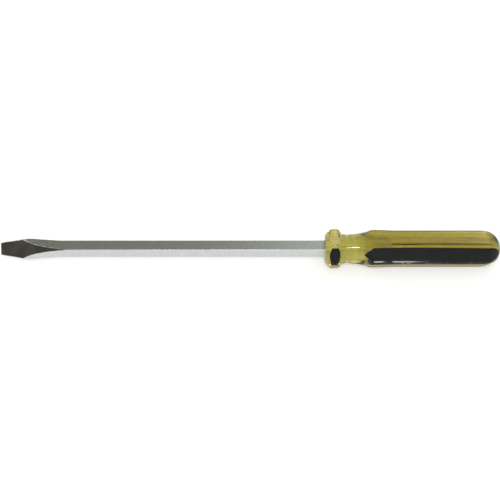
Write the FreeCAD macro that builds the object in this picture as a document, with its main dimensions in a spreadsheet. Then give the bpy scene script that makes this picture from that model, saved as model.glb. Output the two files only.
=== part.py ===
import FreeCAD, Part
import math
import os

import Sketcher

# A flat-blade screwdriver with a square shank and a six-sided plastic handle.
#
# Frame: the origin is the middle of the tip's end face, +X runs along the shaft towards the handle
# and +Z is up. One of the handle's bare flats faces up, so an enamelled flat faces down, and the
# shank's four sides face up, down, front and back. The blade's two broad faces lie on the shank's
# diagonal, 45 degrees from its sides. Every length is in millimetres.

V = FreeCAD.Vector
ALONG = V(1, 0, 0)
SHEET = "Dims"

SIZES = [
    ("shank_size", 9.525, "square shank, across its sides"),
    ("shank_length", 254.0, "from the tip to the front of the handle"),
    ("shank_edge", 0.3, "break on the shank's long edges"),
    ("tip_width", 9.5, "blade at its end"),
    ("tip_thickness", 1.5, "blade at its end"),
    ("tip_edge", 0.15, "break on the blade's edges"),
    ("spread_start", 17.5, "where the forged spread is full width"),
    ("spread_width", 16.0, "forged spread at its widest"),
    ("spread_face", 14.9, "ground face where the spread is full width"),
    ("spread_thickness", 4.7, "blade where the spread is full width"),
    ("heel_start", 25.5, "where the spread starts to narrow towards the shank"),
    ("heel_width", 15.8, "blade there"),
    ("heel_face", 8.6, "ground face there"),
    ("heel_thickness", 6.3, "blade thickness there"),
    ("throat_start", 38.5, "where the ground face has become a narrow tongue"),
    ("throat_width", 13.9, "blade there"),
    ("throat_face", 3.4, "ground face there"),
    ("throat_thickness", 10.2, "blade thickness there"),
    ("face_length", 51.6, "from the tip to where the ground face runs out on the shank's edge"),
    ("tang_size", 9.3, "square tang, ground a little under the shank so that it presses in"),
    ("tang_length", 51.0, "tang inside the handle"),
    ("wing_width", 13.5, "across the two wings that stop the tang turning"),
    ("wing_thickness", 3.0, "each wing"),
    ("wing_start", 24.0, "from the front of the handle"),
    ("wing_length", 18.0, "along the tang"),
    ("socket_clearance", 0.05, "plastic to tang, all round"),
    ("handle_length", 137.5, "overall"),
    ("front_diameter", 22.2, "front end of the collar"),
    ("front_bevel", 4.8, "length of the collar's front bevel"),
    ("collar_diameter", 32.6, "across the collar's corners"),
    ("collar_flats", 28.8, "across the collar's flats"),
    ("collar_land", 5.0, "length of the collar's full diameter"),
    ("rear_bevel", 3.4, "length of the collar's rear bevel"),
    ("foot_diameter", 23.8, "foot of the rear bevel"),
    ("groove_length", 5.8, "turned groove behind the collar"),
    ("groove_diameter", 22.4, "rear end of the groove"),
    ("groove_radius", 12.0, "hollow of the groove"),
    ("step_length", 0.6, "step from the groove up to the neck"),
    ("neck_diameter", 23.1, "front end of the neck"),
    ("neck_length", 6.4, "gently widening neck"),
    ("neck_rear_diameter", 24.0, "rear end of the neck"),
    ("flare_length", 10.3, "from the neck to the grip's shoulder"),
    ("flare_radius", 21.0, "hollow of the flare"),
    ("shoulder_diameter", 31.5, "across the grip's corners at the shoulder"),
    ("shoulder_flats", 28.0, "across the grip's flats at the shoulder"),
    ("shoulder_taper", 17.7, "length over which the shoulder narrows to the grip"),
    ("grip_diameter", 30.3, "across the grip's corners, and across its domed end"),
    ("grip_flats", 26.9, "across the grip's flats"),
    ("runout_length", 9.3, "how far the flats start ahead of the shoulder"),
    ("runout_drop", 1.25, "how much nearer the axis the flats start"),
    ("flat_end_radius", 19.8, "curve of the flats down over the domed end"),
    ("enamel_thickness", 0.15, "enamel on the black flats"),
    ("cut_margin", 10.0, "how far the cutting outlines reach past the handle"),
]

FLAT_COUNT = 6
PANEL_TURNS = [("front", 60.0), ("back", -60.0), ("under", 180.0)]
BLADE_TURN = 45.0


def size(name):
    return f"{SHEET}.{name}"


def half(name):
    return f"{SHEET}.{name} / 2"


# Stations along the handle, measured from its front end.
LAND_START = size("front_bevel")
LAND_END = f"{LAND_START} + {size('collar_land')}"
COLLAR_END = f"{LAND_END} + {size('rear_bevel')}"
GROOVE_END = f"{COLLAR_END} + {size('groove_length')}"
NECK_START = f"{GROOVE_END} + {size('step_length')}"
NECK_END = f"{NECK_START} + {size('neck_length')}"
SHOULDER = f"{NECK_END} + {size('flare_length')}"
GRIP_START = f"{SHOULDER} + {size('shoulder_taper')}"
DOME_START = f"{size('handle_length')} - {half('grip_diameter')}"
HANDLE_END = size("handle_length")
OUTSIDE = f"{half('collar_diameter')} + {size('cut_margin')}"
PAST_END = f"{HANDLE_END} + {size('cut_margin')}"


def make_sheet(doc):
    """Write the driving dimensions, one to a row, with their names as aliases."""
    sheet = doc.addObject("Spreadsheet::Sheet", SHEET)
    for row, (name, value, meaning) in enumerate(SIZES, start=1):
        sheet.set(f"A{row}", name)
        sheet.set(f"B{row}", str(value))
        sheet.set(f"C{row}", meaning)
        sheet.setAlias(f"B{row}", name)
    doc.recompute()
    return sheet


def make_body(doc, name):
    body = doc.addObject("PartDesign::Body", name)
    body.Label = name
    return body


def origin_feature(body, role):
    return next(item for item in body.Origin.OriginFeatures if item.Role == role)


def arc_edge(start, end, radius, hollow):
    """The short arc from start to end, and its end numbers in that order.

    The centre lies to the left of the way from start to end if hollow is true, else to the right.
    """
    chord = end - start
    side = 1.0 if hollow else -1.0
    rise = math.sqrt(radius ** 2 - (chord.Length / 2) ** 2)
    across = V(-chord.y, chord.x, 0).normalize()
    centre = (start + end) * 0.5 + across * (side * rise)
    first, last = (start, end) if hollow else (end, start)
    first_angle = math.atan2(first.y - centre.y, first.x - centre.x)
    last_angle = math.atan2(last.y - centre.y, last.x - centre.x)
    if last_angle < first_angle:
        last_angle += 2 * math.pi
    arc = Part.ArcOfCircle(Part.Circle(centre, V(0, 0, 1), radius), first_angle, last_angle)
    return arc, ((1, 2) if hollow else (2, 1))


def bind(sketch, constraint, name, expression):
    """Add a named size to a sketch and tie it to an expression."""
    sketch.addConstraint(constraint)
    sketch.renameConstraint(sketch.ConstraintCount - 1, name)
    sketch.setExpression(f"Constraints.{name}", expression)


def make_outline(body, name, role, corners, arcs=None, offset=None, turn=0.0):
    """A closed outline on one of the body's origin planes, with every corner tied to the sheet.

    corners are pairs of expressions. arcs maps the number of a side to its radius and whether its
    centre is on the left of the way round; every other side is straight.
    """
    arcs = arcs or {}
    sketch = body.newObject("Sketcher::SketchObject", name)
    sketch.AttachmentSupport = [(origin_feature(body, role), "")]
    sketch.MapMode = "FlatFace"
    sketch.AttachmentOffset = FreeCAD.Placement(V(0, 0, 0), FreeCAD.Rotation(V(0, 0, 1), turn))
    if offset:
        sketch.setExpression("AttachmentOffset.Base.z", offset)
    points = [V(*(float(sketch.evalExpression(text)) for text in pair), 0) for pair in corners]
    ends = []
    for number, start in enumerate(points):
        end = points[(number + 1) % len(points)]
        if number in arcs:
            radius, hollow = arcs[number]
            edge, order = arc_edge(start, end, float(sketch.evalExpression(radius)), hollow)
        else:
            edge, order = Part.LineSegment(start, end), (1, 2)
        ends.append((sketch.addGeometry(edge, False), *order))
    for number, (edge, start_end, far_end) in enumerate(ends):
        following, next_start, _ = ends[(number + 1) % len(ends)]
        sketch.addConstraint(Sketcher.Constraint("Coincident", edge, far_end, following, next_start))
        if number in arcs:
            radius = Sketcher.Constraint("Radius", edge, sketch.Geometry[edge].Radius)
            bind(sketch, radius, f"radius_{number}", arcs[number][0])
        across, up = corners[number]
        at = points[number]
        bind(sketch, Sketcher.Constraint("DistanceX", -1, 1, edge, start_end, at.x), f"x_{number}", across)
        bind(sketch, Sketcher.Constraint("DistanceY", -1, 1, edge, start_end, at.y), f"y_{number}", up)
    return sketch


def make_feature(doc, body, kind, name, profile, **settings):
    """Add one feature that adds or cuts, and refuse it if it changed nothing."""
    before = body.Shape.Volume if body.Tip else 0.0
    feature = body.newObject(f"PartDesign::{kind}", name)
    feature.Profile = profile
    for key, value in settings.items():
        if isinstance(value, str) and value.startswith("="):
            feature.setExpression(key, value[1:])
        else:
            setattr(feature, key, value)
    doc.recompute()
    gain = body.Shape.Volume - before
    cuts = kind in ("Pocket", "Groove")
    if (cuts and gain >= 0) or (not cuts and gain <= 0):
        raise RuntimeError(f"{name} does not change {body.Label}")
    return feature


def rectangle(width, height):
    """Corners of a rectangle about the shaft's axis."""
    right = f"({width}) / 2"
    top = f"({height}) / 2"
    return [(f"-{right}", f"-{top}"), (right, f"-{top}"), (right, top), (f"-{right}", top)]


def blade_section(body, name, width, face, thickness, edge, offset):
    """Six-sided section of the blade, with its side and face edges broken.

    It is drawn on the shank's diagonal: the ground faces are at the top and bottom.
    """
    right = f"({width}) / 2"
    flat = f"({face}) / 2"
    top = f"({thickness}) / 2"
    quarter = [(right, edge), (flat, top)]
    corners = quarter + [(f"-({u})", v) for u, v in reversed(quarter)]
    corners += [(f"-({u})", f"-({v})") for u, v in quarter]
    corners += [(u, f"-({v})") for u, v in reversed(quarter)]
    return make_outline(body, name, "YZ_Plane", corners, offset=offset, turn=BLADE_TURN)


def make_blade(doc):
    """Tip, spread, shank and tang in one forging."""
    body = make_body(doc, "blade")
    edge = size("shank_edge")
    diagonal = f"{size('shank_size')} * sqrt(2) - 2 * {edge}"
    break_width = f"2 * {edge}"
    tip_edge = f"{half('tip_thickness')} - {size('tip_edge')}"
    tip_face = f"{size('tip_width')} - 2 * {size('tip_edge')}"
    plans = [
        ("tip", size("tip_width"), tip_face, size("tip_thickness"), tip_edge, None),
        ("spread", size("spread_width"), size("spread_face"), size("spread_thickness"), edge,
         size("spread_start")),
        ("heel", size("heel_width"), size("heel_face"), size("heel_thickness"), edge,
         size("heel_start")),
        ("throat", size("throat_width"), size("throat_face"), size("throat_thickness"), edge,
         size("throat_start")),
        ("shank_front", diagonal, break_width, diagonal, edge, size("face_length")),
    ]
    sections = [blade_section(body, *plan) for plan in plans]
    doc.recompute()
    make_feature(doc, body, "AdditiveLoft", "forged_end", sections[0], Sections=sections[1:], Ruled=True)

    bar = blade_section(body, "bar_section", diagonal, break_width, diagonal, edge, size("face_length"))
    bar_length = f"{size('shank_length')} - {size('face_length')}"
    make_feature(doc, body, "Pad", "bar", bar, Length="=" + bar_length)

    square = rectangle(size("tang_size"), size("tang_size"))
    tang = make_outline(body, "tang_section", "YZ_Plane", square, offset=size("shank_length"))
    make_feature(doc, body, "Pad", "tang", tang, Length="=" + size("tang_length"))
    across = rectangle(size("wing_width"), size("wing_thickness"))
    wing_offset = f"{size('shank_length')} + {size('wing_start')}"
    wings = make_outline(body, "wing_section", "YZ_Plane", across, offset=wing_offset)
    make_feature(doc, body, "Pad", "wings", wings, Length="=" + size("wing_length"))
    return body


def turned_line():
    """Corners and arcs of the handle's turned outline, from its front edge to the middle of its end."""
    corners = [
        ("0", half("front_diameter")),
        (LAND_START, half("collar_diameter")),
        (LAND_END, half("collar_diameter")),
        (COLLAR_END, half("foot_diameter")),
        (GROOVE_END, half("groove_diameter")),
        (NECK_START, half("neck_diameter")),
        (NECK_END, half("neck_rear_diameter")),
        (SHOULDER, half("shoulder_diameter")),
        (GRIP_START, half("grip_diameter")),
        (DOME_START, half("grip_diameter")),
        (HANDLE_END, "0"),
    ]
    arcs = {
        3: (size("groove_radius"), True),
        6: (size("flare_radius"), True),
        9: (half("grip_diameter"), False),
    }
    return corners, arcs


def flat_line(lift):
    """Corners of a grip flat seen from the side, raised by lift, from its front to past the dome."""
    drop = size("runout_drop")
    reach = size("flat_end_radius")
    sweep = half("grip_diameter")
    shoulder = f"{half('shoulder_flats')} + {lift}"
    level = f"{half('grip_flats')} + {lift}"
    end = f"{half('grip_flats')} - {reach} + sqrt(({reach} + {lift})^2 - ({sweep})^2)"
    return [
        (f"{SHOULDER} - {size('runout_length')}", f"{shoulder} - {drop}"),
        (SHOULDER, shoulder),
        (GRIP_START, level),
        (DOME_START, level),
        (HANDLE_END, end),
    ]


def make_handle(doc):
    """Turned blank with six flats on the collar and the grip, and the socket for the tang."""
    body = make_body(doc, "handle")
    axis = (origin_feature(body, "X_Axis"), [""])
    corners, arcs = turned_line()
    blank = make_outline(body, "turned_outline", "XZ_Plane", corners + [("0", "0")], arcs)
    make_feature(doc, body, "Revolution", "turned_blank", blank, ReferenceAxis=axis, Angle=360.0)

    line = flat_line("0")
    above = [(PAST_END, line[-1][1]), (PAST_END, OUTSIDE), (line[0][0], OUTSIDE)]
    roll = {3: (size("flat_end_radius"), False)}
    grip_cut = make_outline(body, "grip_flat_outline", "XZ_Plane", line + above, roll)
    level = half("collar_flats")
    ahead = f"-{size('cut_margin')}"
    corners = [(ahead, level), (COLLAR_END, level), (COLLAR_END, OUTSIDE), (ahead, OUTSIDE)]
    collar_cut = make_outline(body, "collar_flat_outline", "XZ_Plane", corners)
    cuts = [
        make_feature(doc, body, "Pocket", name, outline, Type="ThroughAll", SideType="Symmetric")
        for name, outline in (("grip_flat", grip_cut), ("collar_flat", collar_cut))
    ]
    flats = body.newObject("PartDesign::PolarPattern", "six_flats")
    flats.Originals = cuts
    flats.Axis = axis
    flats.Angle = 360.0
    flats.Occurrences = FLAT_COUNT
    body.Tip = flats
    doc.recompute()

    gap = f"2 * {size('socket_clearance')}"
    side = f"{size('tang_size')} + {gap}"
    socket = make_outline(body, "socket_outline", "YZ_Plane", rectangle(side, side))
    make_feature(doc, body, "Pocket", "socket", socket, Length="=" + size("tang_length"), Reversed=True)
    across = rectangle(f"{size('wing_width')} + {gap}", f"{size('wing_thickness')} + {gap}")
    slot_start = f"{size('wing_start')} - {size('socket_clearance')}"
    slots = make_outline(body, "wing_slot_outline", "YZ_Plane", across, offset=slot_start)
    slot_length = f"={size('wing_length')} + {gap}"
    make_feature(doc, body, "Pocket", "wing_slots", slots, Length=slot_length, Reversed=True)
    body.setExpression("Placement.Base.x", size("shank_length"))
    return body


def trim_to_blank(doc, body):
    """Cut away whatever stands outside the handle's turned outline."""
    corners, arcs = turned_line()
    outside = corners + [(PAST_END, "0"), (PAST_END, OUTSIDE), ("0", OUTSIDE)]
    outline = make_outline(body, "outside_outline", "XZ_Plane", outside, arcs)
    axis = (origin_feature(body, "X_Axis"), [""])
    make_feature(doc, body, "Groove", "trim", outline, ReferenceAxis=axis, Angle=360.0)


def make_panel(doc, name, corners, arcs, turn):
    """Film of enamel on one flat, bounded where the flat meets the turned outline."""
    body = make_body(doc, name)
    strip = make_outline(body, "film_outline", "XZ_Plane", corners, arcs)
    make_feature(doc, body, "Pad", "film", strip, Length="=" + size("collar_diameter"), SideType="Symmetric")
    trim_to_blank(doc, body)
    body.Placement = FreeCAD.Placement(V(0, 0, 0), FreeCAD.Rotation(ALONG, turn))
    body.setExpression("Placement.Base.x", size("shank_length"))
    return body


def make_grip_panel(doc, side, turn):
    film = size("enamel_thickness")
    corners = flat_line("0") + list(reversed(flat_line(film)))
    arcs = {
        3: (size("flat_end_radius"), False),
        5: (f"{size('flat_end_radius')} + {film}", True),
    }
    return make_panel(doc, f"grip_panel_{side}", corners, arcs, turn)


def make_collar_panel(doc, side, turn):
    low = half("collar_flats")
    high = f"{low} + {size('enamel_thickness')}"
    corners = [("0", low), (COLLAR_END, low), (COLLAR_END, high), ("0", high)]
    return make_panel(doc, f"collar_panel_{side}", corners, {}, turn)


def check(doc, bodies):
    """Refuse a document in which anything failed."""
    for item in doc.Objects:
        if "Invalid" in item.State or "Error" in item.State:
            raise RuntimeError(f"{item.Label} failed: {item.State}")
    for body in bodies:
        if body.Shape.isNull() or not body.Shape.isValid() or len(body.Shape.Solids) != 1:
            raise RuntimeError(f"{body.Label} is not one valid solid")


def main():
    doc = FreeCAD.newDocument("screwdriver")
    make_sheet(doc)
    bodies = [make_blade(doc), make_handle(doc)]
    for side, turn in PANEL_TURNS:
        bodies.append(make_grip_panel(doc, side, turn))
        bodies.append(make_collar_panel(doc, side, turn))
    doc.recompute()
    check(doc, bodies)
    os.makedirs("parts", exist_ok=True)
    for body in bodies:
        body.Shape.exportStep(f"parts/{body.Label}.step")
        print(body.Label, round(body.Shape.Volume, 1), body.Shape.BoundBox)


main()
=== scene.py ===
import math

import bpy
import numpy as np
from bpy.props import FloatProperty, FloatVectorProperty, PointerProperty
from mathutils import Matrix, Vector


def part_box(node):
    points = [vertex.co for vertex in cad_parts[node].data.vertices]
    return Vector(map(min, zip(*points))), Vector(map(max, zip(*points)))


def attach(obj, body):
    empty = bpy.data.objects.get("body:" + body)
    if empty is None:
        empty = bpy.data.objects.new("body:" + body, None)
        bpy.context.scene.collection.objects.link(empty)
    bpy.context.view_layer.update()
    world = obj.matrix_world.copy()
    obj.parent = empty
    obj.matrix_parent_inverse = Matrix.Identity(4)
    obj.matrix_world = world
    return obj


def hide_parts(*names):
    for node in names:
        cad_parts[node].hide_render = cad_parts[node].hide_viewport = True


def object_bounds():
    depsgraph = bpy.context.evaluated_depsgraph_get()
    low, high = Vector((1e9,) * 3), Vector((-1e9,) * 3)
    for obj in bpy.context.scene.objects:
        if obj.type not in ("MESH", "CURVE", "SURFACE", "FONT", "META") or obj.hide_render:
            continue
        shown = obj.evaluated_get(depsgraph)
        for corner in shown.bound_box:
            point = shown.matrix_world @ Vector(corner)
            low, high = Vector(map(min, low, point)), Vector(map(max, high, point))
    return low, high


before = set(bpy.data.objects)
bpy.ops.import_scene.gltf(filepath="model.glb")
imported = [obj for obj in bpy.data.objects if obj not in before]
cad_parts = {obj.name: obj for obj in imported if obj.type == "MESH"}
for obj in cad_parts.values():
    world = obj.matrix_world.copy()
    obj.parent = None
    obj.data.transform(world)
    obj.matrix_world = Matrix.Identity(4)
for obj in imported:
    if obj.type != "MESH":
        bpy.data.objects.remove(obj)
cad_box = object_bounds()

bl_info = {
    "name": "Flat-blade screwdriver",
    "version": (1, 0, 0),
    "blender": (4, 5, 0),
    "location": "3D Viewport > Sidebar > Screwdriver",
    "description": "Forges the blade, turns the handle, enamels its flats and sets the stage",
    "category": "Add Mesh",
}

# Shapes are worked out in millimetres in the CAD frame: X runs from the tip towards the handle and
# Z is up. Meshes are written in metres, and stations along the handle count from its front.
MM = 0.001
SIXTH = math.radians(60)
HALF_SIXTH = math.radians(30)
BLADE_TURN = math.radians(45)
HANDLE_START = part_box("handle")[0][0]
LOWEST = cad_box[0][2]


# ---------------------------------------------------------------- sizes and colours


class BladeSettings(bpy.types.PropertyGroup):
    """Sizes and colours of the steel blade"""

    shank_size: FloatProperty(
        name="Shank", description="Square shank, across its sides",
        default=0.009525, min=0.004, soft_max=0.014, precision=5, unit="LENGTH", subtype="DISTANCE")
    edge_break: FloatProperty(
        name="Edge break", description="Break on the shank's long edges",
        default=0.0002, min=0.00005, soft_max=0.001, precision=5, unit="LENGTH", subtype="DISTANCE")
    tip_width: FloatProperty(
        name="Tip width", description="Blade across its end",
        default=0.0095, min=0.003, soft_max=0.016, precision=5, unit="LENGTH", subtype="DISTANCE")
    tip_thickness: FloatProperty(
        name="Tip thickness", description="Blade through its end",
        default=0.0015, min=0.0004, soft_max=0.003, precision=5, unit="LENGTH", subtype="DISTANCE")
    spread_width: FloatProperty(
        name="Spread", description="Forged spread at its widest",
        default=0.016, min=0.006, soft_max=0.02, precision=5, unit="LENGTH", subtype="DISTANCE")
    face_length: FloatProperty(
        name="Face length", description="From the tip to where the ground face runs out",
        default=0.0516, min=0.03, soft_max=0.08, precision=5, unit="LENGTH", subtype="DISTANCE")
    plate_colour: FloatVectorProperty(
        name="Plating", description="Satin plating on the shank",
        default=(0.62, 0.64, 0.645), min=0, max=1, subtype="COLOR")
    ground_colour: FloatVectorProperty(
        name="Ground face", description="Bare steel of the ground faces",
        default=(0.088, 0.081, 0.069), min=0, max=1, subtype="COLOR")


class HandleSettings(bpy.types.PropertyGroup):
    """Sizes and colours of the handle and of the enamel in its flats"""

    tang_length: FloatProperty(
        name="Tang", description="Tang inside the handle",
        default=0.051, min=0.02, soft_max=0.09, precision=5, unit="LENGTH", subtype="DISTANCE")
    ripple: FloatProperty(
        name="Turning lines", description="Depth of the lines left by turning the groove",
        default=0.00002, min=0, soft_max=0.0001, precision=6, unit="LENGTH", subtype="DISTANCE")
    enamel_thickness: FloatProperty(
        name="Enamel", description="How far the enamel stands above the flats",
        default=0.0001, min=0.00002, soft_max=0.0004,
        precision=5, unit="LENGTH", subtype="DISTANCE")
    acetate_tint: FloatVectorProperty(
        name="Acetate", description="Light left after passing through the plastic",
        default=(0.78, 0.71, 0.21), min=0, max=1, subtype="COLOR")
    acetate_depth: FloatProperty(
        name="Depth of colour", description="How strongly the plastic takes up light, per metre",
        default=98.0, min=0, soft_max=300)
    enamel_colour: FloatVectorProperty(
        name="Enamel colour", description="Black enamel in the flats",
        default=(0.0038, 0.0044, 0.0042), min=0, max=1, subtype="COLOR")


class StageSettings(bpy.types.PropertyGroup):
    """Floor, camera and key lamp"""

    floor_colour: FloatVectorProperty(
        name="Floor", description="Pale floor",
        default=(0.56, 0.56, 0.555), min=0, max=1, subtype="COLOR")
    elevation: FloatProperty(
        name="Camera elevation", description="Camera above the horizon",
        default=math.radians(53), min=0, max=math.radians(89), unit="ROTATION", subtype="ANGLE")
    distance: FloatProperty(
        name="Camera distance", description="From the camera to the middle of the tool",
        default=0.846, min=0.2, soft_max=3, unit="LENGTH", subtype="DISTANCE")
    lens: FloatProperty(
        name="Lens", description="Focal length in millimetres",
        default=77.56, min=20, soft_max=200, unit="CAMERA")
    lamp_power: FloatProperty(
        name="Key lamp", description="Power of the large lamp above the camera, in watts",
        default=5.2, min=0, soft_max=30, unit="POWER")


class ScrewdriverSettings(bpy.types.PropertyGroup):
    """Everything that can be changed before the tool is made"""

    blade: PointerProperty(type=BladeSettings)
    handle: PointerProperty(type=HandleSettings)
    stage: PointerProperty(type=StageSettings)


# ---------------------------------------------------------------- curves and surfaces

BEND_POINTS = 5


def smooth_curve(at, knots):
    """Cubic through the knots that never overshoots them.

    The slope at a knot is the harmonic mean of the slopes of the two chords that meet there, or
    nothing where they rise and fall.
    """
    x, y = np.array(knots, dtype=float).T
    step = np.diff(x)
    chord = np.diff(y) / step
    same_way = chord[:-1] * chord[1:] > 0
    total = np.where(same_way, chord[:-1] + chord[1:], 1.0)
    inner = np.where(same_way, 2 * chord[:-1] * chord[1:] / total, 0.0)
    slope = np.concatenate([chord[:1], inner, chord[-1:]])
    at = np.clip(at, x[0], x[-1])
    i = np.clip(np.searchsorted(x, at) - 1, 0, len(step) - 1)
    t = (at - x[i]) / step[i]
    left = (1 + 2 * t) * (1 - t) ** 2 * y[i] + t * (1 - t) ** 2 * step[i] * slope[i]
    right = t * t * (3 - 2 * t) * y[i + 1] + t * t * (t - 1) * step[i] * slope[i + 1]
    return left + right


def ramp(at, start, length):
    """Straight rise from 0 at start to 1 a length further on. A negative length makes it fall."""
    return np.clip((at - start) / length, 0, 1)


def eased(start, end, count):
    """Numbers from start to end that crowd at both ends, as half a turn seen from the side."""
    return start + (end - start) * (1 - np.cos(np.linspace(0, math.pi, count))) / 2


def rounded_ring(corners, radius, support):
    """Outlines with every corner rounded, for a whole stack of stations at once.

    corners is stations x corners x 2. Each corner becomes points of a parabola that touches both
    sides at radius from the corner, or at two fifths of a short side. Each side then gets a point
    at support from each of its ends and one in its middle. The second array is 1 on the rounded
    points.
    """
    ahead = np.roll(corners, -1, axis=1) - corners
    length = np.linalg.norm(ahead, axis=2, keepdims=True)
    ahead = ahead / np.maximum(length, 1e-9)
    behind = -np.roll(ahead, 1, axis=1)
    cut_ahead = np.minimum(radius, 0.4 * length)
    cut_behind = np.minimum(radius, 0.4 * np.roll(length, 1, axis=1))
    first = corners + behind * cut_behind
    last = corners + ahead * cut_ahead
    t = np.linspace(0, 1, BEND_POINTS)[None, None, :, None]
    start, corner, end = first[:, :, None], corners[:, :, None], last[:, :, None]
    bend = (1 - t) ** 2 * start + 2 * t * (1 - t) * corner + t * t * end
    following = np.roll(first, -1, axis=1)
    side = np.linalg.norm(following - last, axis=2, keepdims=True)
    near = np.minimum(support / np.maximum(side, 1e-9), 0.3)
    share = np.concatenate([near, np.full_like(near, 0.5), 1 - near], axis=2)[..., None]
    straight = last[:, :, None] * (1 - share) + following[:, :, None] * share
    ring = np.concatenate([bend, straight], axis=2)
    edge = np.zeros(ring.shape[:3])
    edge[:, :, :BEND_POINTS] = 1
    return ring.reshape(len(corners), -1, 2), edge.reshape(len(corners), -1)


def across_shaft(x, across, up, turn):
    """Points at x, with across and up measured in a frame turned about the shaft from Y and Z."""
    c, s = math.cos(turn), math.sin(turn)
    x = np.broadcast_to(x, across.shape)
    return np.stack([x, across * c - up * s, across * s + up * c], axis=-1)


def skin(rings, attributes=None):
    """Closed skin over a stack of rings, with a point in the middle of the first and of the last.

    Each patch joins four neighbours of the grid. Each end is a fan from the mean of its ring. The
    rings turn so that the patches face outwards when the stack is climbed along X.
    """
    stations, around = rings.shape[:2]
    index = np.arange(stations * around).reshape(stations, around)
    here, above = index[:-1], index[1:]
    quads = np.stack([here, np.roll(here, -1, 1), np.roll(above, -1, 1), above], axis=-1)
    low, high = stations * around, stations * around + 1
    first, last = index[0], index[-1]
    fans = np.concatenate([
        np.stack([np.roll(first, -1), first, np.full(around, low)], axis=-1),
        np.stack([last, np.roll(last, -1), np.full(around, high)], axis=-1),
    ])
    points = np.concatenate([rings.reshape(-1, 3), rings[:1].mean(axis=1), rings[-1:].mean(axis=1)])
    values = {
        name: np.concatenate([grid.reshape(-1), [grid[0].mean()], [grid[-1].mean()]])
        for name, grid in (attributes or {}).items()
    }
    return points, quads.reshape(-1, 4), fans, values


def make_piece(name, skins, material, node):
    """One mesh object of one or more closed skins, standing for a CAD node."""
    points, quads, fans, values, count = [], [], [], {}, 0
    for part_points, part_quads, part_fans, part_values in skins:
        points.append(part_points)
        quads.append(part_quads + count)
        fans.append(part_fans + count)
        count += len(part_points)
        for key, value in part_values.items():
            values.setdefault(key, []).append(value)
    mesh = bpy.data.meshes.new(name)
    faces = np.concatenate(quads).tolist() + np.concatenate(fans).tolist()
    mesh.from_pydata(np.concatenate(points) * MM, [], faces)
    for key, parts in values.items():
        layer = mesh.attributes.new(key, "FLOAT", "POINT")
        layer.data.foreach_set("value", np.concatenate(parts).astype(np.float32))
    mesh.polygons.foreach_set("use_smooth", np.ones(len(mesh.polygons), dtype=bool))
    mesh.validate()
    mesh.update()
    mesh.materials.append(material)
    if len(mesh.polygons) == 0:
        raise RuntimeError(f"{name} came out empty")
    piece = bpy.data.objects.new(name, mesh)
    bpy.context.scene.collection.objects.link(piece)
    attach(piece, "root")
    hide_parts(node)


# ---------------------------------------------------------------- the blade

# Round of a section's corners, and how close to a round the side next to it gets its first point.
BLADE_ROUND, BLADE_SUPPORT = 0.16, 0.15
# Share of its thickness that the tip keeps at its very end, and of the ground finish on the rim of
# a ground face.
TIP_DRAW = 0.86
RIM_GROUND = 0.55
# Where the shank steps down to the tang behind the handle's front, and by how much.
TANG_STEP, TANG_LESS = 0.55, 0.16
# The wings, from the handle's front.
WING_START, WING_LENGTH, WING_SPAN, WING_THICKNESS = 24.0, 18.0, 13.5, 3.0
WING_ROUND, WING_SUPPORT = 0.4, 0.2


def blade_rings(sizes, tang_end):
    """Forged end, square shank and tang, as one stack of eight-cornered sections.

    A section lies on the shank's diagonal. Its half width, the half width of its ground face, its
    half thickness and that of its sides each follow a smooth curve from the tip to where the face
    runs out on the shank's edge, and stay as they are after that. The tang is the same square, a
    little smaller.
    """
    shank = sizes.shank_size / MM
    edge = sizes.edge_break / MM
    tip = sizes.tip_width / MM / 2
    thin = sizes.tip_thickness / MM / 2
    wide = sizes.spread_width / MM / 2
    end = sizes.face_length / MM
    front = HANDLE_START / MM
    reach = shank / math.sqrt(2) - edge
    x = np.concatenate([
        [0.0, 0.12], np.linspace(0.5, end + 1, 110),
        np.linspace(end + 2, front + 0.3, 70), [front + 0.5, front + 0.6, front + 0.9],
        np.linspace(front + 3, tang_end - 0.3, 14), [tang_end],
    ])
    width = smooth_curve(x, [
        (0, tip), (1.3, tip + 0.32), (6.8, tip + 1.3), (14.7, wide - 0.72), (17.8, wide - 0.12),
        (22.5, wide), (30.4, wide - 0.42), (38, reach + 0.5), (46, reach + 0.06), (end, reach)])
    face = smooth_curve(x, [
        (0, tip - 0.15), (1.3, tip + 0.1), (6.8, tip + 1.0), (14.7, wide - 1.0),
        (17.2, wide - 0.5), (19.2, wide - 1.35), (21.7, 5.6), (27, 3.8), (34.6, 2.3), (39, 1.6),
        (45, 0.9), (end, edge)])
    thick = smooth_curve(x, [
        (0, thin), (18, 2.25), (27, 3.15), (34.6, 4.2), (39, 4.85), (45, 5.65), (end, reach)])
    broken = smooth_curve(x, [(0, thin - 0.15), (12, 0.5), (18, edge), (end, edge)])
    tang = x > front + TANG_STEP
    pressed = reach - TANG_LESS
    width, thick = np.where(tang, pressed, width), np.where(tang, pressed, thick)
    tip_draw = np.where(x == 0, TIP_DRAW, 1.0)
    thick, broken = thick * tip_draw, broken * tip_draw
    u = np.stack([width, face, -face, -width, -width, -face, face, width], axis=1)
    v = np.stack([broken, thick, thick, broken, -broken, -thick, -thick, -broken], axis=1)
    outline, edges = rounded_ring(np.stack([u, v], axis=-1), BLADE_ROUND, BLADE_SUPPORT)
    station = np.broadcast_to(x[:, None], edges.shape)
    side = np.arange(edges.shape[1]) // (edges.shape[1] // 8)
    rounded = edges[0] > 0.5
    on_face = np.isin(side, (1, 5)) & ~rounded
    rim = np.isin(side, (1, 2, 5, 6)) & rounded
    ground = np.where(on_face, 1.0, np.where(rim, RIM_GROUND, 0.0))[None, :] * (station < end - 0.4)
    ground = np.maximum(ground, (station == 0) * 1.0)
    # The edge mask brings rubbed steel and its painted highlight, and is weaker on the shank's
    # ridges.
    edges = edges * np.where(station < end, 1.0, 0.25)
    rings = across_shaft(station, outline[..., 0], outline[..., 1], BLADE_TURN)
    return rings, {"edge": edges, "ground": ground, "tang": (station > front + 0.4) * 1.0}


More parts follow.
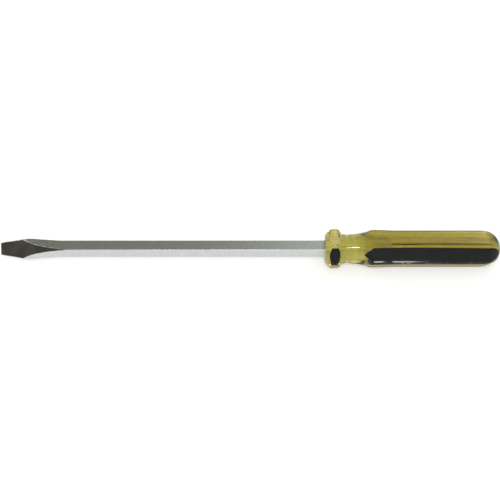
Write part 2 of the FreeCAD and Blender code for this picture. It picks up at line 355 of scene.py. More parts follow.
def wing_rings(start, length, across, thickness):
    """The tang's two wings: a flat bar through the shaft, with rounded corners and eased ends."""
    x = np.array([0.0, 0.15, 0.4, length - 0.4, length - 0.15, length]) + start
    inset = np.array([0.4, 0.15, 0.0, 0.0, 0.15, 0.4])
    half, high = across / 2 - inset, thickness / 2 - inset
    u = np.stack([half, -half, -half, half], axis=1)
    v = np.stack([high, high, -high, -high], axis=1)
    outline, edges = rounded_ring(np.stack([u, v], axis=-1), WING_ROUND, WING_SUPPORT)
    rings = across_shaft(x[:, None], outline[..., 0], outline[..., 1], 0.0)
    none = np.zeros_like(edges)
    # The wings carry the tang's mask, and so its painted reflection.
    return rings, {"edge": none, "ground": none, "tang": none + 1}


# ---------------------------------------------------------------- the handle

# Corners of the collar's outline, how far each is eased, and where the neck takes over.
COLLAR = [(0.0, 10.75), (0.0, 11.1), (4.8, 16.3), (9.8, 16.3), (13.25, 11.85), (14.4, 11.66)]
COLLAR_EASE, COLLAR_END = 0.32, 13.9
# Radius of the turned neck and grip, and the height of the grip's flats.
NECK = [(14.0, 11.72), (14.7, 11.6), (16.3, 11.18), (18.0, 11.14), (19.1, 11.2), (19.6, 11.5),
        (20.9, 11.6), (24.1, 11.8), (27.2, 12.22), (30.4, 12.9), (31.95, 13.4), (33.5, 14.22),
        (35.1, 15.3), (36.0, 15.64), (37.0, 15.74), (44.5, 15.5), (49.2, 15.3), (54.0, 15.17),
        (80.0, 15.15), (105.0, 15.22), (122.3, 15.15)]
GRIP_FLATS = [(29.7, 12.72), (32.3, 13.3), (34.1, 13.62), (37.0, 13.98), (44.5, 13.8),
              (54.0, 13.46), (122.0, 13.45)]
# First and last station of each run along the neck and the grip, and the step between stations.
NECK_RUNS = [(14.0, 20.2, 0.11), (20.3, 29.0, 0.35), (29.0, 39.0, 0.16), (39.0, 56.0, 0.7),
             (56.0, 120.0, 1.6), (120.0, 122.3, 0.5)]
COLLAR_FLAT, COLLAR_FLAT_END = 14.4, 20.0
DOME_START, DOME_RADIUS = 122.3, 15.15
FLAT_ROLL, FLAT_ROLL_START = 19.8, 122.0
SMALLEST_CORNER = 0.15
AROUND = 240
# The front face is drawn in to this share of its radius, as the socket's mouth.
MOUTH = 0.55
# Turning lines: from crest to crest, where they come in and die out, and over what length each.
LINE_PITCH = 0.86
LINES_IN, LINES_OUT = (12.9, 0.6), (21.4, -2.0)
# Where the turned finish gives way to the cut one, and over what length.
TURNED_OUT = (31.5, -2.0)

# Turn of each enamelled flat from +Z towards -Y, how far the brush ran over its edges, and how much
# of its lower side the brush left bare at the rear.
ENAMELLED = {"front": (60.0, 0.0, 0.5), "back": (-60.0, 1.5, 0.0), "under": (180.0, 0.2, 0.0)}
# Points across a film, how deep its underside lies in the plastic, and how squarely its edge drops.
FILM_POINTS, FILM_SUNK, FILM_EDGE = 27, 0.035, 6
# Half the width of a grip film. An overrun comes in over its full width, from FULL_FILM up.
GRIP_FILM = [(29.7, 0.0), (32.3, 2.3), (34.1, 3.9), (36.4, 6.05), (37.4, 6.4), (74, 6.6),
             (98, 6.45), (125, 6.1), (129, 5.8), (131.3, 4.9), (133.1, 3.7), (134.5, 2.1),
             (135.26, 0.0)]
FULL_FILM = (5.5, 0.8)
# A bare strip comes in behind the film's point, widens towards the rear from a first share of its
# width, and takes at most this share of the film's half width.
BARE_IN, BARE_WIDENS, BARE_FIRST, BARE_MOST = (31.0, 8.0), (37.0, 80.0), 0.4, 0.3
# Stations of a collar film's ends, how much of the flat it fills, and how much more for each
# millimetre that the brush ran over.
COLLAR_FILM, COLLAR_FILL, COLLAR_OVERRUN = (3.05, 11.27), 0.83, 0.03
# Radius and slope of the collar's front bevel, the collar's full radius, and the start and slope of
# its rear bevel.
FRONT_BEVEL, COLLAR_RADIUS, REAR_BEVEL = (11.1, 1.0833), 16.3, (9.8, 1.29)


def softened_line(corners, radius, count):
    """Straight lines from corner to corner, each inner corner eased by a parabola."""
    points = np.array(corners, dtype=float)
    ahead = np.diff(points, axis=0)
    ahead /= np.linalg.norm(ahead, axis=1, keepdims=True)
    first = points[1:-1] - ahead[:-1] * radius
    last = points[1:-1] + ahead[1:] * radius
    t = np.linspace(0, 1, count)[None, :, None]
    start, corner, end = first[:, None], points[1:-1, None], last[:, None]
    bends = (1 - t) ** 2 * start + 2 * t * (1 - t) * corner + t * t * end
    return np.concatenate([points[:1], bends.reshape(-1, 2), points[-1:]])


def round_line():
    """Stations along the handle and the radius of its turned outline at each.

    The collar is straight between softened corners, the neck and the grip follow one smooth curve,
    and the end is a quarter of a circle.
    """
    corners = softened_line(COLLAR, COLLAR_EASE, BEND_POINTS)
    collar_x = np.unique(np.concatenate([corners[:, 0], np.linspace(0.3, 13.6, 62)]))
    collar_x = collar_x[collar_x <= COLLAR_END]
    collar_r = np.interp(collar_x, corners[1:, 0], corners[1:, 1])
    neck_x = np.concatenate([np.arange(*run) for run in NECK_RUNS])
    neck_r = smooth_curve(neck_x, NECK)
    swing = np.linspace(0, math.pi / 2, 46)[:-1]
    dome_x = DOME_START + DOME_RADIUS * np.sin(swing)
    dome_r = DOME_RADIUS * np.cos(swing)
    return np.concatenate([collar_x, neck_x, dome_x]), np.concatenate([collar_r, neck_r, dome_r])


def flat_line(x, radius):
    """Distance from the axis to the flats at each station, or the radius where no flat is cut.

    The flats are level on the collar, a smooth curve on the grip, and an arc over the end.
    """
    grip = smooth_curve(x, GRIP_FLATS)
    rolled = np.clip(x - FLAT_ROLL_START, 0, FLAT_ROLL)
    grip = grip - (FLAT_ROLL - np.sqrt(FLAT_ROLL ** 2 - rolled ** 2))
    flat = np.where(x < COLLAR_FLAT_END, COLLAR_FLAT, np.where(x < GRIP_FLATS[0][0], radius, grip))
    return np.minimum(flat, radius)


def corner_radius(radius, flat):
    """Radius of a corner that touches two neighbouring flats and reaches the turned outline."""
    sharp = 1 / math.cos(HALF_SIXTH)
    return np.clip((flat * sharp - radius) / (sharp - 1), SMALLEST_CORNER, radius)


def section_reach(angle, radius, flat):
    """Distance from the axis to a six-sided section with round corners, at each angle."""
    corner = corner_radius(radius, flat)
    level = (flat - corner) * math.tan(HALF_SIXTH)
    lean = np.abs(np.mod(angle + HALF_SIXTH, SIXTH) - HALF_SIXTH)
    centre = (flat - corner) / math.cos(HALF_SIXTH)
    off = HALF_SIXTH - lean
    arc = centre * np.cos(off) + np.sqrt(np.maximum(corner ** 2 - (centre * np.sin(off)) ** 2, 0))
    return np.where(flat * np.tan(lean) <= level, flat / np.cos(lean), arc)


def section_height(across, radius, flat):
    """Height of the same section over the middle of a flat, at a distance across it."""
    corner = corner_radius(radius, flat)
    level = (flat - corner) * math.tan(HALF_SIXTH)
    past = np.clip(np.abs(across) - level, 0, corner)
    return flat - corner + np.sqrt(np.maximum(corner ** 2 - past ** 2, 0))


def handle_rings(ripple):
    """Turned and six-sided blank: at each station the section's reach at angles from +Z towards -Y.

    The turning lines are a sine along the groove. The second array is 1 over the turned collar and
    neck and 0 over the grip.
    """
    x, radius = round_line()
    flat = flat_line(x, radius)
    lines = ripple * np.sin(2 * math.pi * x / LINE_PITCH) * ramp(x, *LINES_IN) * ramp(x, *LINES_OUT)
    angle = np.linspace(0, 2 * math.pi, AROUND, endpoint=False)[None, :]
    lined = radius + lines
    reach = section_reach(angle, lined[:, None], np.minimum(flat, lined)[:, None])
    station = np.broadcast_to(x[:, None], reach.shape) + HANDLE_START / MM
    rings = np.stack([station, -reach * np.sin(angle), reach * np.cos(angle)], axis=-1)
    front = rings[:1].copy()
    front[..., 1:] *= MOUTH
    turned = np.broadcast_to(ramp(x, *TURNED_OUT)[:, None], reach.shape)
    return np.concatenate([front, rings]), {"turned": np.concatenate([turned[:1], turned])}


def enamel_rings(x, half_width, turn, proud, shift=0.0):
    """Film of enamel on one flat: across above the plastic, and back just under its surface.

    Points across it are spaced as the sine of even angles. It stands proud by 1 less a high power of
    the share of the half width. The shift moves its middle line across the flat.
    """
    outline_x, outline_r = round_line()
    radius = np.interp(x, outline_x, outline_r)[:, None]
    flat = flat_line(x, radius[:, 0])[:, None]
    share = np.sin(np.linspace(-math.pi / 2, math.pi / 2, FILM_POINTS))[None, :]
    across = half_width[:, None] * share + np.broadcast_to(shift, x.shape)[:, None]
    height = section_height(across, radius, flat)
    outer = height + proud * (1 - share ** FILM_EDGE)
    inner = (height - FILM_SUNK)[:, ::-1]
    ring_across = np.concatenate([across, across[:, ::-1]], axis=1)
    ring_height = np.concatenate([outer, inner], axis=1)
    return across_shaft(x[:, None] + HANDLE_START / MM, -ring_across, ring_height, turn)


def grip_film(turn, proud, overrun, bare):
    """Long panel: a sharp point on the neck, nearly straight sides, and a round end on the dome."""
    x = np.concatenate([
        eased(29.72, 39.0, 50)[:-1], np.linspace(39.0, 126.0, 60)[:-1], eased(126.0, 135.25, 46)])
    half_width = smooth_curve(x, GRIP_FILM)
    half_width = half_width + overrun * ramp(half_width, *FULL_FILM)
    widening = BARE_FIRST + (1 - BARE_FIRST) * ramp(x, *BARE_WIDENS)
    bare = bare / 2 * ramp(x, *BARE_IN) * widening
    bare = np.minimum(bare, BARE_MOST * half_width)
    return enamel_rings(x, half_width - bare, turn, proud, -bare)


def collar_film(turn, proud, overrun):
    """Oval on a collar flat: at each station, a share of the chord that the flat cuts."""
    x = eased(*COLLAR_FILM, 60)
    front = FRONT_BEVEL[0] + FRONT_BEVEL[1] * x
    rear = COLLAR_RADIUS - REAR_BEVEL[1] * (x - REAR_BEVEL[0])
    radius = np.minimum(np.minimum(front, COLLAR_RADIUS), rear)
    chord = np.sqrt(np.maximum(radius ** 2 - COLLAR_FLAT ** 2, 0))
    half_width = (COLLAR_FILL + overrun * COLLAR_OVERRUN) * chord
    return enamel_rings(x, half_width, turn, proud)


# ---------------------------------------------------------------- finishes

# Colours that a finish is drawn towards: old, dirty, rubbed with a painted highlight, scratched, or
# on the grip.
OLD_PLATE = (0.50, 0.50, 0.45)
GRIMY_STEEL = (0.060, 0.052, 0.040)
# Rubbed steel and a painted highlight: the cream of the lit rims of the blade's faces.
RUBBED_STEEL_AND_HIGHLIGHT = (0.86, 0.80, 0.66)
SCRATCHED_STEEL = (0.85, 0.85, 0.82)
# Painted reflection on the tang: pale steel that stands in for the silvery look of the air gap round
# it inside the handle.
TANG_REFLECTION_DULL, TANG_REFLECTION_BRIGHT = (0.62, 0.62, 0.60), (1.0, 1.0, 0.97)
ACETATE_DEEP, ACETATE_PALE = (0.95, 1.0, 0.36), (1.0, 1.0, 0.46)
DARKER_GRIP_ACETATE = (0.68, 0.61, 0.25)
DRAWN_LINE = (0.42, 0.36, 0.13)
TURNED_LINE = (0.56, 0.56, 0.19)
SCRATCHED_ENAMEL = (0.05, 0.052, 0.05)
# Patterns drawn out along the shaft, by how much they shrink along X, and round it.
ALONG_GROUND, ALONG_TANG, ALONG_GRIP = (0.12, 1.0, 1.0), (0.02, 1.0, 1.0), (0.012, 1.0, 1.0)
ROUND_NECK = (1.0, 0.02, 0.02)


def feed(tree, socket, value):
    """Link a socket to the value, or set it where the value is a plain one."""
    if isinstance(value, bpy.types.NodeSocket):
        tree.links.new(value, socket)
    else:
        socket.default_value = value


def add(tree, kind, inputs=None, **settings):
    """New node with its settings and the values or links of its inputs."""
    made = tree.nodes.new(kind)
    for key, value in settings.items():
        setattr(made, key, value)
    for key, value in (inputs or {}).items():
        feed(tree, made.inputs[key], value)
    return made


def maths(tree, operation, *values, clamp=False):
    """Result of one operation on values or links, held between 0 and 1 where it is clamped."""
    inputs = dict(enumerate(values))
    return add(tree, "ShaderNodeMath", inputs, operation=operation, use_clamp=clamp).outputs[0]


def stretch(tree, value, low, high, to_low=0.0, to_high=1.0):
    """Value between low and high, carried over to lie between to_low and to_high."""
    return add(tree, "ShaderNodeMapRange", {"Value": value, "From Min": low, "From Max": high,
                                            "To Min": to_low, "To Max": to_high}).outputs[0]


def blend(tree, share, first, second):
    """Colour between two colours, by a share from 0 to 1."""
    return add(tree, "ShaderNodeMix", {0: share, 6: first, 7: second}, data_type="RGBA").outputs[2]


def between(tree, share, first, second):
    """Number between two numbers, by a share from 0 to 1."""
    return add(tree, "ShaderNodeMix", {0: share, 2: first, 3: second}).outputs[0]


def opaque(colour, gain=1.0):
    """Colour made lighter or darker by a gain, with full alpha."""
    return (*[min(1.0, channel * gain) for channel in colour], 1.0)


def mottled(tree, share, colour, low, high):
    """Shades of one colour, from its low gain to its high one."""
    return blend(tree, share, opaque(colour, low), opaque(colour, high))


def drawn_towards(tree, colour, mask, strength, other):
    """Colour drawn towards another by a mask times a strength."""
    return blend(tree, maths(tree, "MULTIPLY", mask, strength), colour, opaque(other))


def drawn_out(tree, place, scale):
    """Coordinates scaled along each axis, so that a pattern is drawn out along the small ones."""
    return add(tree, "ShaderNodeMapping", {"Vector": place, "Scale": scale}).outputs[0]


def painted(tree, name):
    """Mask that a piece carries on its points."""
    return add(tree, "ShaderNodeAttribute", attribute_name=name).outputs["Fac"]


def noise(tree, vector, scale, detail, roughness=0.5):
    """Noise with about so many lumps in a metre."""
    return add(tree, "ShaderNodeTexNoise", {"Vector": vector, "Scale": scale, "Detail": detail,
                                            "Roughness": roughness}).outputs["Fac"]


def new_group(name, numbers, outs):
    """Empty effect group with a vector and named numbers in, and numbers out.

    Returns the group, what it is given and what it puts out.
    """
    group = bpy.data.node_groups.new(name, "ShaderNodeTree")
    group.interface.new_socket("Vector", in_out="INPUT", socket_type="NodeSocketVector")
    for label, value in numbers.items():
        socket = group.interface.new_socket(label, in_out="INPUT", socket_type="NodeSocketFloat")
        socket.default_value = value
    for label in outs:
        group.interface.new_socket(label, in_out="OUTPUT", socket_type="NodeSocketFloat")
    given, out = group.nodes.new("NodeGroupInput"), group.nodes.new("NodeGroupOutput")
    return group, given.outputs, out.inputs


def grain_group():
    """Grain of two sizes: fine specks, broad mottling and a height made of both."""
    group, given, out = new_group(
        "Surface grain", {"Fine scale": 1500.0, "Broad scale": 90.0}, ["Fine", "Broad", "Height"])
    fine = noise(group, given["Vector"], given["Fine scale"], 3.0, 0.6)
    broad = noise(group, given["Vector"], given["Broad scale"], 4.0, 0.55)
    fine = stretch(group, fine, 0.3, 0.7)
    broad = stretch(group, broad, 0.3, 0.7)
    feed(group, out["Fine"], fine)
    feed(group, out["Broad"], broad)
    feed(group, out["Height"], maths(group, "MULTIPLY_ADD", broad, 0.6, fine))
    return group


def wear_group():
    """Rubbed edges with a painted highlight: where the edge mask is high, broken up by noise so that
    it comes and goes.
    """
    group, given, out = new_group(
        "Edge wear", {"Edge": 0.0, "Scale": 260.0, "Amount": 0.6}, ["Wear"])
    patchy = noise(group, given["Vector"], given["Scale"], 5.0, 0.65)
    worn = maths(group, "MULTIPLY", stretch(group, patchy, 0.38, 0.62), given["Edge"])
    feed(group, out["Wear"], maths(group, "MULTIPLY", worn, given["Amount"], clamp=True))
    return group


def scratch_group():
    """Fine scratches: thin lines where a warped wave crosses its crest, kept only in patches."""
    group, given, out = new_group("Handling scratches", {"Scale": 220.0}, ["Scratch"])
    wave = add(group, "ShaderNodeTexWave",
               {"Vector": given["Vector"], "Scale": given["Scale"],
                "Distortion": 9.0, "Detail": 2.0, "Detail Scale": 0.6},
               wave_type="BANDS", bands_direction="DIAGONAL")
    line = stretch(group, wave.outputs["Fac"], 0.965, 1.0)
    kept = stretch(group, noise(group, given["Vector"], 130.0, 2.0), 0.52, 0.62)
    feed(group, out["Scratch"], maths(group, "MULTIPLY", line, kept))
    return group


def effect(tree, builder, title, inputs):
    """Outputs of an effect group with its own values, built the first time that it is wanted."""
    group = bpy.data.node_groups.get(title) or builder()
    return add(tree, "ShaderNodeGroup", inputs, node_tree=group).outputs


def grain(tree, place, fine, broad):
    """Fine, Broad and Height of the grain, at two scales."""
    return effect(tree, grain_group, "Surface grain",
                  {"Vector": place, "Fine scale": fine, "Broad scale": broad})


def scratches(tree, place, scale):
    """Mask of the fine scratches, at a scale."""
    inputs = {"Vector": place, "Scale": scale}
    return effect(tree, scratch_group, "Handling scratches", inputs)["Scratch"]


def new_material(name):
    """Material wired to a Principled shader: it, its tree, the shader and Object coordinates."""
    material = bpy.data.materials.new(name)
    material.use_nodes = True
    tree = material.node_tree
    tree.nodes.clear()
    shader = tree.nodes.new("ShaderNodeBsdfPrincipled")
    add(tree, "ShaderNodeOutputMaterial", {"Surface": shader.outputs[0]})
    place = tree.nodes.new("ShaderNodeTexCoord").outputs["Object"]
    return material, tree, shader, place


def dress(tree, shader, inputs):
    """Values and links of the shader's own sockets."""
    for key, value in inputs.items():
        feed(tree, shader.inputs[key], value)


def bump(tree, height, strength, distance):
    """Normal from a height, for a surface whose relief is a distance deep."""
    return add(tree, "ShaderNodeBump",
               {"Strength": strength, "Distance": distance, "Height": height}).outputs[0]


def steel_finish(sizes):
    """Satin plated steel with a fine grain, darker on the ground faces, and rubbed on its edges,
    with a painted highlight along the rims of the blade's faces.

    The ground faces have fine lines along them. The tang is pale, nearly non-metallic steel in broad
    bright bands: a painted reflection of the silvery look that the air gap round it gives inside the
    handle.
    """
    material, tree, shader, place = new_material("satin_plated_steel")
    skin_grain = grain(tree, place, 850.0, 120.0)
    lines = grain(tree, drawn_out(tree, place, ALONG_GROUND), 3200.0, 700.0)
    tang_reflection_streaks = grain(tree, drawn_out(tree, place, ALONG_TANG), 900.0, 420.0)
    edge, ground, tang = [painted(tree, name) for name in ("edge", "ground", "tang")]
    wear_and_highlight = effect(tree, wear_group, "Edge wear",
                  {"Vector": place, "Edge": edge, "Scale": 240.0, "Amount": 0.8})["Wear"]
    scratch = scratches(tree, place, 260.0)

    plate = mottled(tree, skin_grain["Fine"], sizes.plate_colour, 0.78, 1.12)
    plate = drawn_towards(tree, plate, skin_grain["Broad"], 0.25, OLD_PLATE)
    # The tang's painted reflection: pale steel in broad bright bands along it.
    tang_reflection_share = maths(tree, "MULTIPLY", tang_reflection_streaks["Broad"], 1.8, clamp=True)
    painted_tang_reflection = blend(tree, tang_reflection_share, opaque(TANG_REFLECTION_DULL), opaque(TANG_REFLECTION_BRIGHT))
    plate = blend(tree, tang, plate, painted_tang_reflection)
    bare = mottled(tree, lines["Fine"], sizes.ground_colour, 0.7, 1.35)
    bare = drawn_towards(tree, bare, skin_grain["Broad"], 0.5, GRIMY_STEEL)
    colour = blend(tree, ground, plate, bare)
    # Rubbed edges, which also carry a painted highlight along the rims of the blade's faces.
    colour = blend(tree, wear_and_highlight, colour, opaque(RUBBED_STEEL_AND_HIGHLIGHT))
    colour = drawn_towards(tree, colour, scratch, 0.4, SCRATCHED_STEEL)

    # The tang is made nearly non-metallic, so that its painted reflection shows as it is.
    metal = maths(tree, "MULTIPLY_ADD", tang, -0.85, 1.0)
    metal = maths(tree, "MULTIPLY_ADD", wear_and_highlight, -0.7, metal, clamp=True)

    satin = stretch(tree, skin_grain["Fine"], 0.0, 1.0, 0.27, 0.37)
    coarse = stretch(tree, lines["Fine"], 0.0, 1.0, 0.30, 0.44)
    rough = between(tree, ground, satin, coarse)
    rough = maths(tree, "MULTIPLY_ADD", wear_and_highlight, -0.10, rough)
    rough = maths(tree, "MULTIPLY_ADD", tang, 0.25, rough)

    height = between(tree, ground, skin_grain["Height"], lines["Height"])
    height = maths(tree, "MULTIPLY_ADD", scratch, -0.5, height)
    dress(tree, shader, {"Base Color": colour, "Metallic": metal, "Roughness": rough,
                         "Normal": bump(tree, height, 0.3, 0.00006)})
    return material


def acetate_finish(sizes):
    """Clear amber acetate: the colour is taken up on the way through.

    Faint drawn lines run along the flats, and turning lines run round the collar and the neck. The
    grip is drawn darker and browner than the turned collar and neck, and its lines are stronger.
    """
    material, tree, shader, place = new_material("amber_acetate")
    lines = grain(tree, drawn_out(tree, place, ALONG_GRIP), 1000.0, 430.0)
    rings = grain(tree, drawn_out(tree, place, ROUND_NECK), 560.0, 420.0)
    specks = grain(tree, place, 1800.0, 60.0)
    scratch = scratches(tree, place, 150.0)
    turned = painted(tree, "turned")
    cut = maths(tree, "SUBTRACT", 1.0, turned)
    ring = maths(tree, "MULTIPLY", turned, rings["Fine"])

    colour = blend(tree, lines["Broad"], opaque(ACETATE_DEEP), opaque(ACETATE_PALE))
    # Darker and browner over the grip than over the turned collar and neck, with stronger drawn
    # lines there.
    colour = drawn_towards(tree, colour, cut, 0.3, DARKER_GRIP_ACETATE)
    colour = drawn_towards(tree, colour, lines["Fine"],
                           maths(tree, "MULTIPLY_ADD", cut, 0.55, 0.10), DRAWN_LINE)
    colour = drawn_towards(tree, colour, ring, 0.6, TURNED_LINE)

    rough = stretch(tree, specks["Broad"], 0.0, 1.0, 0.02, 0.07)
    rough = maths(tree, "MULTIPLY_ADD", scratch, 0.06, rough)

    height = maths(tree, "MULTIPLY", lines["Height"], maths(tree, "MULTIPLY_ADD", cut, 0.97, 0.03))
    height = maths(tree, "MULTIPLY_ADD", scratch, -0.25, height)
    height = maths(tree, "MULTIPLY_ADD", ring, 0.06, height)
    dress(tree, shader, {"Base Color": colour, "Metallic": 0.0, "Roughness": rough, "IOR": 1.48,
                         "Transmission Weight": 1.0, "Normal": bump(tree, height, 0.7, 0.00012)})
    depth = add(tree, "ShaderNodeVolumeAbsorption",
                {"Color": opaque(sizes.acetate_tint), "Density": sizes.acetate_depth})
    tree.links.new(depth.outputs[0], tree.get_output_node("ALL").inputs["Volume"])
    return material


def enamel_finish(sizes):
    """Black brushed-on enamel: glossy, a little uneven, and thinner and greyer in places."""
    material, tree, shader, place = new_material("black_enamel")
    coat = grain(tree, place, 420.0, 140.0)
    scratch = scratches(tree, place, 190.0)
    colour = mottled(tree, coat["Broad"], sizes.enamel_colour, 0.75, 1.4)
    colour = drawn_towards(tree, colour, scratch, 0.5, SCRATCHED_ENAMEL)
    rough = stretch(tree, coat["Broad"], 0.0, 1.0, 0.05, 0.10)
    height = maths(tree, "MULTIPLY_ADD", scratch, -0.4, coat["Height"])
    dress(tree, shader, {"Base Color": colour, "Metallic": 0.0, "Roughness": rough, "IOR": 1.3,
                         "Normal": bump(tree, height, 0.06, 0.00004)})
    return material


# ---------------------------------------------------------------- stage

WHITE = (1.0, 1.0, 1.0, 1.0)
FLOOR_REACH, FLOOR_GAP = 40.0, 0.0001
# How strongly the floor shines to the eye and in reflections.
FLOOR_SHINE = 0.49
# The dim strip of floor under the handle gives way to open floor between these distances from the
# axis, and over this length to each side of the handle's front.
STRIP_INNER, STRIP_OUTER = 0.010, 0.014
STRIP_FADE = 0.004
# The surround's colour overhead, the heights between which it comes in, and the light it gives.
OVERHEAD, OVERHEAD_FROM, OVERHEAD_TO = (0.205, 0.21, 0.165, 1.0), 0.25, 0.65
SKY_LIGHT = (0.85, 0.85, 0.85, 1.0)
# What the camera and the lamps are turned towards.
MIDDLE = Vector((0.1953, -0.0008, -0.0006))
# The key lamp's height above the camera, its distance, and its width and depth.
KEY_ABOVE, KEY_DISTANCE, KEY_SIZE = math.radians(9), 1.3, (0.40, 0.15)
# The other lamps: place and aim from the middle, width, depth, watts, and whether they light more
# than reflections.
LAMPS = {
    "rear_lamp": ((0.62, 0.70, 0.95), (0, 0, 0), 0.42, 0.5, 1.8, True),
    "collar_lamp": ((0.145, 0.72, 0.96), (0.06, 0, 0), 0.12, 0.12, 0.13, True),
    "low_glint_lamp": ((0.225, -0.8, 0.02), (0.12, 0, 0), 0.05, 0.05, 0.28, False),
}
SENSOR_WIDTH = 36.0
NEAREST, FURTHEST = 0.01, 100.0


def floor_finish(sizes):
    """Pale matt floor that shows as white to the eye and in reflections, and still takes a shadow.

    Right under the handle, where little light gets in, a reflection sees only the light that does.
    """
    material, tree, shader, place = new_material("pale_floor")
    colour = mottled(tree, grain(tree, place, 60.0, 3.0)["Fine"], sizes.floor_colour, 0.99, 1.01)
    spot = add(tree, "ShaderNodeSeparateXYZ", {"Vector": place}).outputs
    beside = stretch(tree, maths(tree, "ABSOLUTE", spot["Y"]), STRIP_INNER, STRIP_OUTER)
    ahead = stretch(tree, spot["X"], HANDLE_START - STRIP_FADE, HANDLE_START + STRIP_FADE, 1.0, 0.0)
    path = tree.nodes.new("ShaderNodeLightPath").outputs
    open_floor = maths(tree, "MAXIMUM", beside, ahead)
    open_floor = maths(tree, "MAXIMUM", open_floor, path["Is Transmission Ray"])
    mirrored = maths(tree, "MULTIPLY", path["Is Glossy Ray"], open_floor)
    shown = maths(tree, "MAXIMUM", path["Is Camera Ray"], mirrored)
    dress(tree, shader, {"Base Color": colour, "Roughness": 0.9, "Specular IOR Level": 0.1,
                         "Emission Color": WHITE,
                         "Emission Strength": maths(tree, "MULTIPLY", shown, FLOOR_SHINE)})
    return material


def studio_world():
    """Plain soft surround: white at the horizon, greyer overhead, and even in its light."""
    world = bpy.data.worlds.new("studio")
    world.use_nodes = True
    tree = world.node_tree
    tree.nodes.clear()
    direction = tree.nodes.new("ShaderNodeTexCoord").outputs["Generated"]
    height = add(tree, "ShaderNodeSeparateXYZ", {"Vector": direction}).outputs["Z"]
    shown = blend(tree, stretch(tree, height, OVERHEAD_FROM, OVERHEAD_TO), WHITE, OVERHEAD)
    path = tree.nodes.new("ShaderNodeLightPath").outputs
    looked_at = maths(tree, "MAXIMUM", path["Is Camera Ray"], path["Is Glossy Ray"])
    given = blend(tree, looked_at, SKY_LIGHT, shown)
    given = blend(tree, path["Is Transmission Ray"], given, WHITE)
    sky = add(tree, "ShaderNodeBackground", {"Color": given, "Strength": 1.0})
    add(tree, "ShaderNodeOutputWorld", {"Surface": sky.outputs[0]})
    return world


def upwards(elevation):
    """Direction from the tool towards a height above the horizon in front of it."""
    return Vector((0.0, -math.cos(elevation), math.sin(elevation)))


def softbox(name, place, aim, width, depth, power):
    """Rectangular lamp at a place, turned to face a point."""
    lamp = bpy.data.lights.new(name, "AREA")
    lamp.shape = "RECTANGLE"
    lamp.size, lamp.size_y = width, depth
    lamp.energy = power
    item = bpy.data.objects.new(name, lamp)
    item.location = place
    item.rotation_euler = (aim - place).to_track_quat("-Z", "Y").to_euler()
    bpy.context.scene.collection.objects.link(item)
    return item


# ---------------------------------------------------------------- operators


class SCREWDRIVER_OT_forge_blade(bpy.types.Operator):
    """Forge the tip, the spread and the square shank, with the tang and its wings"""

    bl_idname = "screwdriver.forge_blade"
    bl_label = "Forge the blade"

    def execute(self, context):
        settings = context.scene.screwdriver
        tang_end = (HANDLE_START + settings.handle.tang_length) / MM
        forged = skin(*blade_rings(settings.blade, tang_end))
        start = HANDLE_START / MM + WING_START
        wings = skin(*wing_rings(start, WING_LENGTH, WING_SPAN, WING_THICKNESS))
        steel = steel_finish(settings.blade)
        make_piece("blade_forging", [forged, wings], steel, "blade")
        return {"FINISHED"}


class SCREWDRIVER_OT_turn_handle(bpy.types.Operator):
    """Turn the acetate handle and cut its six flats"""

    bl_idname = "screwdriver.turn_handle"
    bl_label = "Turn the handle"

    def execute(self, context):
        sizes = context.scene.screwdriver.handle
        blank = skin(*handle_rings(sizes.ripple / MM))
        make_piece("handle_acetate", [blank], acetate_finish(sizes), "handle")
        return {"FINISHED"}


class SCREWDRIVER_OT_enamel_flats(bpy.types.Operator):
    """Lay black enamel in every other flat of the grip and of the collar"""

    bl_idname = "screwdriver.enamel_flats"
    bl_label = "Enamel the flats"

    def execute(self, context):
        sizes = context.scene.screwdriver.handle
        material = enamel_finish(sizes)
        proud = sizes.enamel_thickness / MM
        for side, (degrees, overrun, bare) in ENAMELLED.items():
            turn = math.radians(degrees)
            films = {"grip": grip_film(turn, proud, overrun, bare),
                     "collar": collar_film(turn, proud, overrun)}
            for kind, rings in films.items():
                node = f"{kind}_panel_{side}"
                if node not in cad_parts:
                    raise RuntimeError(f"the frame has no {node}")
                make_piece(f"{kind}_enamel_{side}", [skin(rings)], material, node)
        return {"FINISHED"}


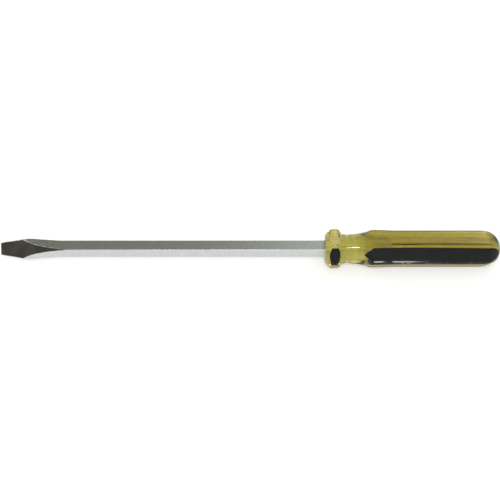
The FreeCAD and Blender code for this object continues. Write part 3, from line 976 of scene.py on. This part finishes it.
class SCREWDRIVER_OT_set_stage(bpy.types.Operator):
    """Lay the floor, hang the lamps and place the camera"""

    bl_idname = "screwdriver.set_stage"
    bl_label = "Set the stage"

    def execute(self, context):
        scene = context.scene
        sizes = scene.screwdriver.stage
        side = np.array([[-1, -1], [1, -1], [1, 1], [-1, 1]], dtype=float) * FLOOR_REACH
        ground = np.column_stack([side, np.full(4, LOWEST - FLOOR_GAP)])
        mesh = bpy.data.meshes.new("floor")
        mesh.from_pydata(ground, [], [(0, 1, 2, 3)])
        mesh.materials.append(floor_finish(sizes))
        floor = bpy.data.objects.new("floor", mesh)
        scene.collection.objects.link(floor)
        scene.world = studio_world()
        scene.view_settings.view_transform = "Standard"

        key = MIDDLE + upwards(sizes.elevation + KEY_ABOVE) * KEY_DISTANCE
        softbox("key_lamp", key, MIDDLE, *KEY_SIZE, sizes.lamp_power)
        for name, (place, aim, width, depth, power, lights) in LAMPS.items():
            lamp = softbox(name, MIDDLE + Vector(place), MIDDLE + Vector(aim), width, depth, power)
            lamp.visible_camera = lamp.visible_diffuse = lamp.visible_transmission = lights

        lens = bpy.data.cameras.new("camera")
        lens.lens = sizes.lens
        lens.sensor_width = SENSOR_WIDTH
        lens.clip_start, lens.clip_end = NEAREST, FURTHEST
        camera = bpy.data.objects.new("camera", lens)
        back = upwards(sizes.elevation)
        camera.location = MIDDLE + back * sizes.distance
        camera.rotation_euler = (-back).to_track_quat("-Z", "Y").to_euler()
        scene.collection.objects.link(camera)
        scene.camera = camera
        return {"FINISHED"}


class SCREWDRIVER_PT_workshop(bpy.types.Panel):
    """Sizes, colours and steps of the screwdriver"""

    bl_label = "Screwdriver"
    bl_idname = "SCREWDRIVER_PT_workshop"
    bl_space_type = "VIEW_3D"
    bl_region_type = "UI"
    bl_category = "Screwdriver"

    def draw(self, context):
        settings = context.scene.screwdriver
        for title, group, steps in (
            ("Blade", settings.blade, ["forge_blade"]),
            ("Handle", settings.handle, ["turn_handle", "enamel_flats"]),
            ("Stage", settings.stage, ["set_stage"]),
        ):
            box = self.layout.box()
            box.label(text=title)
            for name in group.bl_rna.properties.keys():
                if name not in ("rna_type", "name"):
                    box.prop(group, name)
            for step in steps:
                box.operator(f"screwdriver.{step}")


CLASSES = (
    BladeSettings, HandleSettings, StageSettings, ScrewdriverSettings,
    SCREWDRIVER_OT_forge_blade, SCREWDRIVER_OT_turn_handle, SCREWDRIVER_OT_enamel_flats,
    SCREWDRIVER_OT_set_stage, SCREWDRIVER_PT_workshop,
)


def register():
    for item in CLASSES:
        bpy.utils.register_class(item)
    bpy.types.Scene.screwdriver = PointerProperty(type=ScrewdriverSettings)


def unregister():
    del bpy.types.Scene.screwdriver
    for item in reversed(CLASSES):
        bpy.utils.unregister_class(item)


def main():
    register()
    bpy.ops.screwdriver.forge_blade()
    bpy.ops.screwdriver.turn_handle()
    bpy.ops.screwdriver.enamel_flats()
    bpy.ops.screwdriver.set_stage()
    bpy.context.view_layer.update()


if __name__ == "__main__":
    main()
